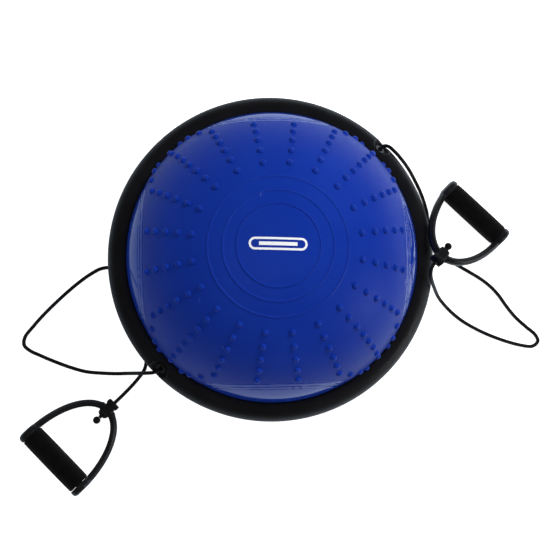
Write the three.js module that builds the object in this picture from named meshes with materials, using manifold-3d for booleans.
// A balance dome trainer: an inflated half-dome clamped to a rigid platform by a black rim bead, with a
// resistance cord and a D-handle on each side. Millimetres, +Z up. The origin is on the dome's axis,
// on the floor. Two cord outlets face each other at 45 and 225 degrees about Z.
import * as THREE from "three";
import { mergeVertices } from "three/addons/utils/BufferGeometryUtils.js";
import Module from "manifold-3d";

const wasm = await Module();
wasm.setup();

// ---- Driving dimensions ------------------------------------------------------------------------
const GAP = 0.3; // clearance between touching pieces
const ROUND = 48; // facets round the big rings

const DOME_RADIUS = 256;
const DOME_EQUATOR_Z = 40;
const DOME_TOP_Z = 220;
const DOME_SKIN = 3;
const DOME_EDGE_RADIUS = 262; // the clamped bead at the skin's lower edge

const RIM_RADIUS = 290;
const RIM_SECTION = 24; // radius of the bead's round section
const RIM_AXIS_Z = 29;
const RIM_AXIS_RADIUS = RIM_RADIUS - RIM_SECTION;
const RIM_BOTTOM_RADIUS = 276.6; // where the bead wraps the platform's edge

const PLATE_BOTTOM = 10;
const PLATE_TOP = 16;
const PLATE_RADIUS = 276;
const RIB_BOTTOM = 5;
const RIB_WIDTH = 4;
const RIB_RINGS = [60, 150, 236];
const RADIAL_RIBS = 8;

const FOOT_COUNT = 8;
const FOOT_RADIUS = 22;
const FOOT_CIRCLE = 193;
const CENTRE_FOOT_RADIUS = 40;

const SCREW_COUNT = 12;
const SCREW_CIRCLE = 269;
const SCREW_HEAD = 5;
const SCREW_SHANK = 2.2;
const SCREW_TOP = 28;

const VALVE_Y = -105;
const VALVE_HOLE = 10.3;
const PLUG_STEM = 4.7;

const OUTLET_ANGLES = { right: 45, left: 225 }; // degrees about Z
const OUTLET_SEAT = 12; // distances from the bead's axis, out along the 45 degree outlet
const OUTLET_BOTTOM = -5;
const OUTLET_BORE = 7;
const OUTLET_NOTCH = 17;
const EYELET_FACE = 15;
const STOP_TOP = 3.5;

const CORD_RADIUS = 3.25;
const CORD_SIDES = 8;

const GRIP_X = 138; // from the sleeve's mouth to the grip's axis
const YOKE_LENGTH = 127; // the stirrup is half an ellipse round the grip's middle
const YOKE_HALF_WIDTH = 71.5;
const YOKE_ARM = 12;
const YOKE_DEPTH = 16;
const SLEEVE = { length: 30, width: 23, height: 18, bore: 5.5 };
const DISC = { radius: 20, inner: 59.5, outer: 71.5, seat: 68 }; // the ears at the ends of the grip
const END_CAP_RADIUS = 13;
const CORE = { radius: 7.2, bore: 5.6 };
const GRIP_TUBE = { radius: 11, bore: 7.8 };
const FOAM = { radius: 19, bore: 11.4, half: 58.2 };
const FERRULE = { radius: 5.2, bore: 3.9, flange: 7.5, end: 32 };
const BALL = { radius: 6.5, x: 42.5 };
const TAIL_START = 2.4; // past the mouth, where the cord bends as the handle swings

// Where each handle lies: its sleeve's mouth, its heading about Z and how far it climbs to the grip.
const HANDLES = {
  left: { mouth: [-278, -256, 9.6], yaw: 224, climb: 4.32 },
  right: { mouth: [284.9, -11.3, 73.9], yaw: 47, climb: -23 },
};

// The cords' routes over the floor, from the outlet's eyelet to just before the sleeve's mouth.
const CORD_ROUTES = {
  left: [
    [-200, -199.5, 43.8], [-208, -202, 46], [-219, -203, 42], [-231, -203.5, 33], [-244, -204, 21],
    [-258, -204.5, 10], [-276, -205, 4.5], [-301, -204, 3.5], [-330, -201, 3.5], [-358, -193, 3.5],
    [-387, -182, 3.5], [-410, -172, 3.5], [-427, -164, 3.5], [-438, -154, 3.5], [-437, -140, 3.5],
    [-423, -121, 3.5], [-403, -98, 3.5], [-374, -69, 3.5], [-347, -45, 3.5], [-324, -28, 3.5],
    [-305, -18, 3.5], [-288, -17, 3.5], [-278.5, -28, 3.5], [-276, -48, 3.5], [-270, -75, 3.5],
    [-262, -99, 3.5], [-251, -124, 3.5], [-239, -145, 3.5], [-229, -163, 3.5], [-224, -180, 3.5],
    [-227, -198, 3.5], [-238, -214, 3.6], [-252, -230, 5], [-266, -244.4, 7.6],
  ],
  right: [
    [201, 200.5, 44.2], [209, 199.5, 46], [222, 190.5, 42], [237, 177.5, 33], [252, 161.5, 22],
    [265, 143, 12], [277, 121, 5.5], [285, 98, 3.5], [288.5, 78, 3.5], [288, 60, 3.5],
    [287.5, 43, 3.5], [292, 28, 3.5], [303, 15, 3.5], [319, 4, 3.5], [341, -10, 3.5],
    [365, -24, 3.5], [385, -36, 3.5], [403, -50, 3.5], [418, -66, 3.5], [432, -86, 3.5],
    [449, -107, 3.5], [470, -126, 3.5], [485, -139, 3.5], [490, -151, 3.5], [480, -160, 3.5],
    [456, -158, 3.5], [418, -147, 3.5], [382, -132, 3.5], [350, -114, 3.5], [330, -98, 3.5],
    [318, -86, 5], [308, -76, 10], [300, -67, 19], [293, -59, 32], [286, -51, 47],
    [279.5, -43, 62], [275, -34, 74], [275, -25, 79.5],
  ],
};
const CORD_STEPS = 60;

// ---- Materials ---------------------------------------------------------------------------------
function material(color, roughness, metalness = 0) {
  return new THREE.MeshStandardMaterial({ color, roughness, metalness });
}
const LOOKS = {
  skin: () => material(0x0e2c90, 0.3),
  rim: () => material(0x101113, 0.5),
  platform: () => material(0x17181a, 0.6),
  rubber: () => material(0x0c0c0d, 0.8),
  steel: () => material(0x9a9c9f, 0.35, 1),
  moulding: () => material(0x161616, 0.55),
  foam: () => material(0x060607, 0.95),
  cord: () => material(0x0b0c0c, 0.6),
};

// ---- Solids ------------------------------------------------------------------------------------
function toSolid(geometry) {
  const plain = geometry.clone();
  plain.deleteAttribute("normal");
  plain.deleteAttribute("uv");
  const merged = mergeVertices(plain, 1e-3);
  const triVerts = new Uint32Array(merged.index.array);
  const vertProperties = merged.attributes.position.array;
  return new wasm.Manifold(new wasm.Mesh({ numProp: 3, vertProperties, triVerts }));
}

function toGeometry(solid) {
  const mesh = solid.getMesh();
  const geometry = new THREE.BufferGeometry();
  geometry.setAttribute("position", new THREE.BufferAttribute(mesh.vertProperties, 3));
  geometry.setIndex(new THREE.BufferAttribute(mesh.triVerts, 1));
  return geometry;
}

// Joins the first group of geometries and cuts the second group from it.
function carve(joined, cut = []) {
  let solid = toSolid(joined[0]);
  for (const g of joined.slice(1)) solid = solid.add(toSolid(g));
  for (const g of cut) solid = solid.subtract(toSolid(g));
  return toGeometry(solid);
}

// Turns a profile of [radius, z] points about Z. It runs anticlockwise when closed.
function turned(profile, segments = ROUND) {
  const points = profile.map(([r, z]) => new THREE.Vector2(r, z));
  return new THREE.LatheGeometry(points, segments).rotateX(Math.PI / 2);
}

function closed(profile) {
  return [...profile, profile[0]];
}

function disc(radius, bottom, top, segments) {
  return turned([[0, bottom], [radius, bottom], [radius, top], [0, top]], segments);
}

function ring(inner, outer, bottom, top, segments) {
  const corners = [[inner, bottom], [outer, bottom], [outer, top], [inner, top]];
  return turned(closed(corners), segments);
}

function arc(centreR, centreZ, radiusR, radiusZ, from, to, steps) {
  const points = [];
  for (let i = 0; i <= steps; i++) {
    const a = THREE.MathUtils.degToRad(from + ((to - from) * i) / steps);
    points.push([centreR + radiusR * Math.cos(a), centreZ + radiusZ * Math.sin(a)]);
  }
  return points;
}

function polar(radius, degrees) {
  const a = THREE.MathUtils.degToRad(degrees);
  return [radius * Math.cos(a), radius * Math.sin(a)];
}

// A turned shape along Z moved onto the handle's grip axis, which lies along Y.
function alongGrip(geometry) {
  return geometry.rotateX(-Math.PI / 2).translate(GRIP_X, 0, 0);
}

function alongSleeve(geometry) {
  return geometry.rotateY(Math.PI / 2);
}

// ---- Assembly helpers --------------------------------------------------------------------------
const trainer = new THREE.Group();

function add(parent, name, geometry, look) {
  const mesh = new THREE.Mesh(geometry, LOOKS[look]());
  mesh.name = name;
  parent.add(mesh);
  return mesh;
}

// A group whose +Z runs out of the rim bead at 45 degrees, with its origin on the bead's axis.
function outletGroup(degrees) {
  const turn = new THREE.Group();
  turn.rotation.z = THREE.MathUtils.degToRad(degrees);
  const tilt = new THREE.Group();
  tilt.position.set(RIM_AXIS_RADIUS, 0, RIM_AXIS_Z);
  tilt.rotation.y = Math.PI / 4;
  turn.add(tilt);
  trainer.add(turn);
  turn.updateMatrixWorld(true);
  return tilt;
}

const outlets = {};
for (const side of ["left", "right"]) outlets[side] = outletGroup(OUTLET_ANGLES[side]);

// ---- Dome --------------------------------------------------------------------------------------
function domeGeometry() {
  const rise = DOME_TOP_Z - DOME_EQUATOR_Z;
  const inner = DOME_RADIUS - DOME_SKIN;
  const outside = arc(0, DOME_EQUATOR_Z, DOME_RADIUS, rise, 0, 90, 10);
  const inside = arc(0, DOME_EQUATOR_Z, inner, rise - DOME_SKIN, 90, 0, 5);
  outside[outside.length - 1] = [0, DOME_TOP_Z];
  inside[0] = [0, DOME_TOP_Z - DOME_SKIN];
  const foot = PLATE_TOP + GAP;
  const edge = [[inner, foot], [DOME_EDGE_RADIUS, foot], [DOME_EDGE_RADIUS, 22], [DOME_RADIUS, 22]];
  return turned([...inside, ...edge, ...outside]);
}
add(trainer, "dome_skin", domeGeometry(), "skin");

// ---- Rim bead ----------------------------------------------------------------------------------
function screwHoles(bottom, top, radius) {
  const holes = [];
  for (let i = 0; i < SCREW_COUNT; i++) {
    const [x, y] = polar(SCREW_CIRCLE, (360 / SCREW_COUNT) * i);
    holes.push(disc(radius, bottom, top, 8).translate(x, y, 0));
  }
  return holes;
}

function rimGeometry() {
  const seat = DOME_EDGE_RADIUS + 0.6;
  const under = PLATE_TOP + 0.4;
  const wall = DOME_RADIUS + 0.6;
  const bead = arc(RIM_AXIS_RADIUS, RIM_AXIS_Z, RIM_SECTION, RIM_SECTION, -60, 112, 10);
  const inner = [[wall, 49], [wall, 22.5], [seat, 22.5], [seat, under], [RIM_BOTTOM_RADIUS, under]];
  const cuts = screwHoles(0, SCREW_TOP + 1, SCREW_SHANK + GAP);
  for (const side of ["left", "right"]) {
    const notch = disc(OUTLET_NOTCH, OUTLET_SEAT, RIM_SECTION + 6, 16);
    const bore = disc(OUTLET_BORE, OUTLET_BOTTOM, RIM_SECTION, 16);
    for (const g of [notch, bore]) cuts.push(g.applyMatrix4(outlets[side].matrixWorld));
  }
  return carve([turned(closed([...bead, ...inner]))], cuts);
}
add(trainer, "rim_bead", rimGeometry(), "rim");

// ---- Platform ----------------------------------------------------------------------------------
function platformGeometry() {
  const parts = [disc(PLATE_RADIUS, PLATE_BOTTOM, PLATE_TOP, ROUND)];
  for (const r of RIB_RINGS) parts.push(ring(r - RIB_WIDTH, r, RIB_BOTTOM, PLATE_BOTTOM + 1, 32));
  const span = RIB_RINGS[2] - RIB_RINGS[0];
  for (let i = 0; i < RADIAL_RIBS; i++) {
    const rib = new THREE.BoxGeometry(span, RIB_WIDTH, PLATE_BOTTOM + 1 - RIB_BOTTOM);
    rib.translate(RIB_RINGS[0] + span / 2 - RIB_WIDTH / 2, 0, (PLATE_BOTTOM + 1 + RIB_BOTTOM) / 2);
    parts.push(rib.rotateZ(((i + 0.5) * 2 * Math.PI) / RADIAL_RIBS));
  }
  const valveHole = disc(VALVE_HOLE, 0, PLATE_TOP + 5, 20).translate(0, VALVE_Y, 0);
  return carve(parts, [valveHole, ...screwHoles(0, PLATE_TOP + 5, SCREW_SHANK + 0.4)]);
}
add(trainer, "base_platform", platformGeometry(), "platform");

function footGeometry(radius, segments) {
  const top = PLATE_BOTTOM - GAP;
  const profile = [[0, 0], [radius - 2, 0], [radius, 2], [radius, top - 2], [radius - 2, top], [0, top]];
  return turned(profile, segments);
}
add(trainer, "foot_centre", footGeometry(CENTRE_FOOT_RADIUS, 20), "rubber");
for (let i = 0; i < FOOT_COUNT; i++) {
  const foot = add(trainer, `foot_${i + 1}`, footGeometry(FOOT_RADIUS, 12), "rubber");
  foot.position.set(...polar(FOOT_CIRCLE, (360 / FOOT_COUNT) * i), 0);
}

function screwGeometry() {
  const seat = PLATE_BOTTOM - GAP;
  const head = [[0, 6.9], [SCREW_HEAD - 1, 6.9], [SCREW_HEAD, 7.7], [SCREW_HEAD, seat]];
  const shank = [[SCREW_SHANK, seat], [SCREW_SHANK, SCREW_TOP - 2], [0, SCREW_TOP]];
  return turned([...head, ...shank], 8);
}
for (let i = 0; i < SCREW_COUNT; i++) {
  const screw = add(trainer, `clamp_screw_${i + 1}`, screwGeometry(), "steel");
  screw.position.set(...polar(SCREW_CIRCLE, (360 / SCREW_COUNT) * i), 0);
}

// ---- Air valve ---------------------------------------------------------------------------------
function valveSeatGeometry() {
  const bore = PLUG_STEM + GAP;
  const barrel = VALVE_HOLE - GAP;
  const flange = [[bore, 7.6], [16, 7.6], [16, PLATE_BOTTOM - GAP], [barrel, PLATE_BOTTOM - GAP]];
  return turned(closed([...flange, [barrel, 18], [bore, 18]]), 20);
}
add(trainer, "valve_seat", valveSeatGeometry(), "rubber").position.y = VALVE_Y;

function plugGeometry() {
  const cap = [[0, 4.6], [8, 4.6], [9, 5.4], [9, 7.2], [PLUG_STEM, 7.2]];
  return turned([...cap, [PLUG_STEM, 19], [PLUG_STEM - 1.2, 21], [0, 21]], 16);
}
add(trainer, "air_plug", plugGeometry(), "moulding").position.y = VALVE_Y;

// ---- Cord outlets in the rim -------------------------------------------------------------------
function eyeletGeometry() {
  const bore = CORD_RADIUS + 0.7;
  const barrel = OUTLET_BORE - GAP;
  const seat = OUTLET_SEAT + GAP;
  const outer = [[barrel, STOP_TOP + 1], [barrel, seat], [10.5, seat], [10.5, EYELET_FACE - 1]];
  return turned(closed([[bore, STOP_TOP + 1], ...outer, [9.5, EYELET_FACE], [bore, EYELET_FACE]]), 14);
}

function innerStopGeometry() {
  const radius = OUTLET_BORE - 0.7;
  const bottom = OUTLET_BOTTOM + 0.5;
  const side = [[radius - 1.5, bottom], [radius, bottom + 1.5], [radius, STOP_TOP - 1.5]];
  return turned([[0, bottom], ...side, [radius - 1.5, STOP_TOP], [0, STOP_TOP]], 12);
}
for (const side of ["left", "right"]) {
  add(outlets[side], `eyelet_${side}`, eyeletGeometry(), "moulding");
  add(outlets[side], `inner_stop_${side}`, innerStopGeometry(), "rubber");
}

// ---- Cords -------------------------------------------------------------------------------------
function cordSection() {
  const corners = [];
  for (let i = 0; i < CORD_SIDES; i++) {
    const a = (2 * Math.PI * (i + 0.5)) / CORD_SIDES;
    corners.push(new THREE.Vector2(CORD_RADIUS * Math.cos(a), CORD_RADIUS * Math.sin(a)));
  }
  return new THREE.Shape(corners);
}

function tubeAlong(points, steps) {
  const extrudePath = new THREE.CatmullRomCurve3(points);
  return new THREE.ExtrudeGeometry(cordSection(), { steps, extrudePath, bevelEnabled: false });
}

function cordGeometry(side, mouth, heading) {
  const start = [STOP_TOP + GAP, 9, EYELET_FACE];
  const inside = start.map((t) => new THREE.Vector3(0, 0, t).applyMatrix4(outlets[side].matrixWorld));
  const outside = CORD_ROUTES[side].map((p) => new THREE.Vector3(...p));
  const end = [-8, -GAP].map((t) => mouth.clone().addScaledVector(heading, t));
  return tubeAlong([...inside, ...outside, ...end], CORD_STEPS);
}

// ---- Handles -----------------------------------------------------------------------------------
function handleGroup(side) {
  const { mouth, yaw, climb } = HANDLES[side];
  const group = new THREE.Group();
  group.rotation.order = "ZYX";
  group.rotation.set(0, -THREE.MathUtils.degToRad(climb), THREE.MathUtils.degToRad(yaw));
  group.position.set(...mouth);
  trainer.add(group);
  group.updateMatrixWorld(true);
  return group;
}

function stirrupShape() {
  const shape = new THREE.Shape();
  const inner = YOKE_HALF_WIDTH - YOKE_ARM;
  shape.moveTo(GRIP_X, YOKE_HALF_WIDTH);
  shape.absellipse(GRIP_X, 0, YOKE_LENGTH, YOKE_HALF_WIDTH, Math.PI / 2, 1.5 * Math.PI, false, 0);
  shape.lineTo(GRIP_X, -inner);
  shape.absellipse(GRIP_X, 0, YOKE_LENGTH - YOKE_ARM, inner, 1.5 * Math.PI, Math.PI / 2, true, 0);
  shape.closePath();
  return shape;
}

function bevelled(shape, depth, bevel, curveSegments) {
  const bevelling = { bevelThickness: bevel, bevelSize: bevel, bevelOffset: -bevel, bevelSegments: 1 };
  const settings = { depth: depth - 2 * bevel, curveSegments, ...bevelling };
  return new THREE.ExtrudeGeometry(shape, settings).translate(0, 0, bevel - depth / 2);
}

function sleeveGeometry() {
  const { length, width, height } = SLEEVE;
  const half = width / 2;
  const corners = [[0, -half], [length, -half], [length, half], [0, half]];
  const shape = new THREE.Shape(corners.map(([x, y]) => new THREE.Vector2(x, y)));
  return bevelled(shape, height, 1.5, 1);
}

// A round plate across the grip's axis from one distance to another, and its mirror image.
function gripPair(radius, from, to, segments) {
  return [disc(radius, from, to, segments), disc(radius, -to, -from, segments)].map(alongGrip);
}

function yokeGeometry() {
  const discs = gripPair(DISC.radius, DISC.inner, DISC.outer, 24);
  const capPockets = gripPair(END_CAP_RADIUS + 2 * GAP, DISC.seat, DISC.outer + 10, 20);
  const cordBore = alongSleeve(disc(SLEEVE.bore, -5, FERRULE.end, 16));
  const coreBore = alongGrip(disc(CORE.radius + GAP, -80, 80, 20));
  const stirrup = bevelled(stirrupShape(), YOKE_DEPTH, 1.5, 10);
  return carve([stirrup, sleeveGeometry(), ...discs], [cordBore, coreBore, ...capPockets]);
}

function ferruleGeometry() {
  const { radius, bore, flange, end } = FERRULE;
  const face = SLEEVE.length + GAP;
  const outer = [[radius, 0.5], [radius, face], [flange, face], [flange, end]];
  return alongSleeve(turned(closed([[bore, 0.5], ...outer, [bore, end]]), 16));
}

function endCapGeometry(sign) {
  const stem = CORE.bore - GAP;
  const face = DISC.seat + GAP;
  const top = DISC.seat + 3;
  const stemSide = [[0, DISC.inner], [stem, DISC.inner], [stem, face]];
  const button = [[END_CAP_RADIUS, face], [END_CAP_RADIUS, face + 1], [10, top], [0, top]];
  const shape = turned([...stemSide, ...button], 14);
  if (sign < 0) shape.rotateX(Math.PI);
  return alongGrip(shape);
}

function foamGeometry() {
  const { radius, bore, half } = FOAM;
  const low = [[bore, -half], [radius - 3, -half], [radius, 3 - half]];
  const high = [[radius, half - 3], [radius - 3, half], [bore, half]];
  return alongGrip(turned(closed([...low, ...high]), 24));
}

function addHandle(side) {
  const group = handleGroup(side);
  const tail = [TAIL_START, 12, 24, BALL.x - BALL.radius - GAP].map((x) => new THREE.Vector3(x, 0, 0));
  const ball = new THREE.SphereGeometry(BALL.radius, 12, 8).translate(BALL.x, 0, 0);
  add(group, `yoke_${side}`, yokeGeometry(), "moulding");
  add(group, `ferrule_${side}`, ferruleGeometry(), "moulding");
  add(group, `core_tube_${side}`, alongGrip(ring(CORE.bore, CORE.radius, -67.5, 67.5, 20)), "steel");
  add(group, `end_cap_${side}_a`, endCapGeometry(1), "moulding");
  add(group, `end_cap_${side}_b`, endCapGeometry(-1), "moulding");
  const sleeve = ring(GRIP_TUBE.bore, GRIP_TUBE.radius, -58.5, 58.5, 20);
  add(group, `grip_tube_${side}`, alongGrip(sleeve), "moulding");
  add(group, `grip_foam_${side}`, foamGeometry(), "foam");
  add(group, `cord_tail_${side}`, tubeAlong(tail, 3), "cord");
  add(group, `stop_ball_${side}`, ball, "rubber");
  const heading = new THREE.Vector3(1, 0, 0).transformDirection(group.matrixWorld);
  add(trainer, `cord_${side}`, cordGeometry(side, group.position, heading), "cord");
}
addHandle("left");
addHandle("right");

export default trainer;
